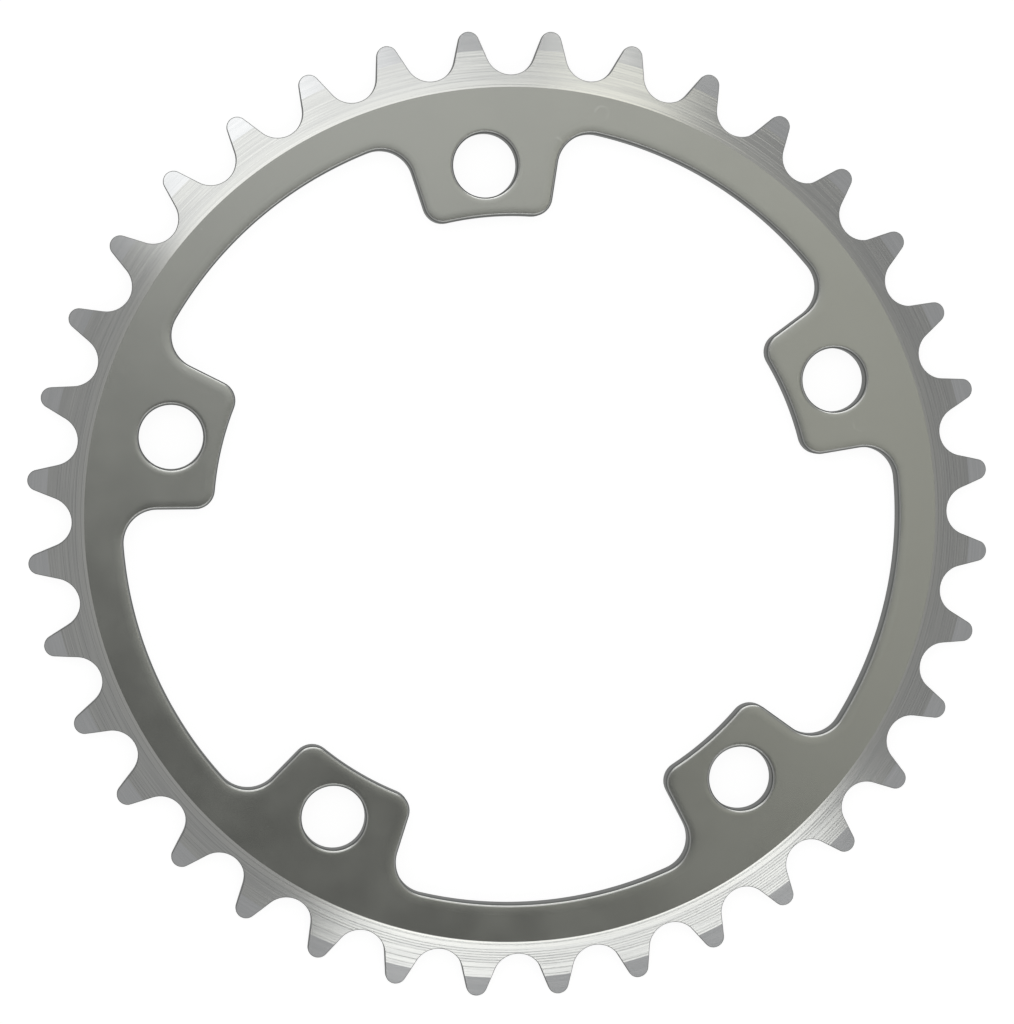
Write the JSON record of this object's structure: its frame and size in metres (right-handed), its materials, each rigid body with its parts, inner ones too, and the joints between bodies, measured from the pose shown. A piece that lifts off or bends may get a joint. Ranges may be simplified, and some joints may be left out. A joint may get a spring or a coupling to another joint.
{
  "type": "bicycle chainring",
  "caption": "Flat toothed ring that drives a bicycle chain, with a turned rim, an open middle and inward tabs drilled for bolting to a crank spider.",
  "frame": {"origin": "centre of the ring on its flat back face, which it rests on", "axes": "+Z along the ring's axis, out of the front face that has the turned band; +Y is up in the picture"},
  "size_m": [0.1514, 0.1514, 0.0032],
  "materials": {
    "clear_anodised_aluminium": "tumbled and clear anodised to a satin grey, with a bright turned band and cut teeth at the rim"
  },
  "bodies": {
    "root": {"chainring": "clear_anodised_aluminium"}
  },
  "joints": []
}
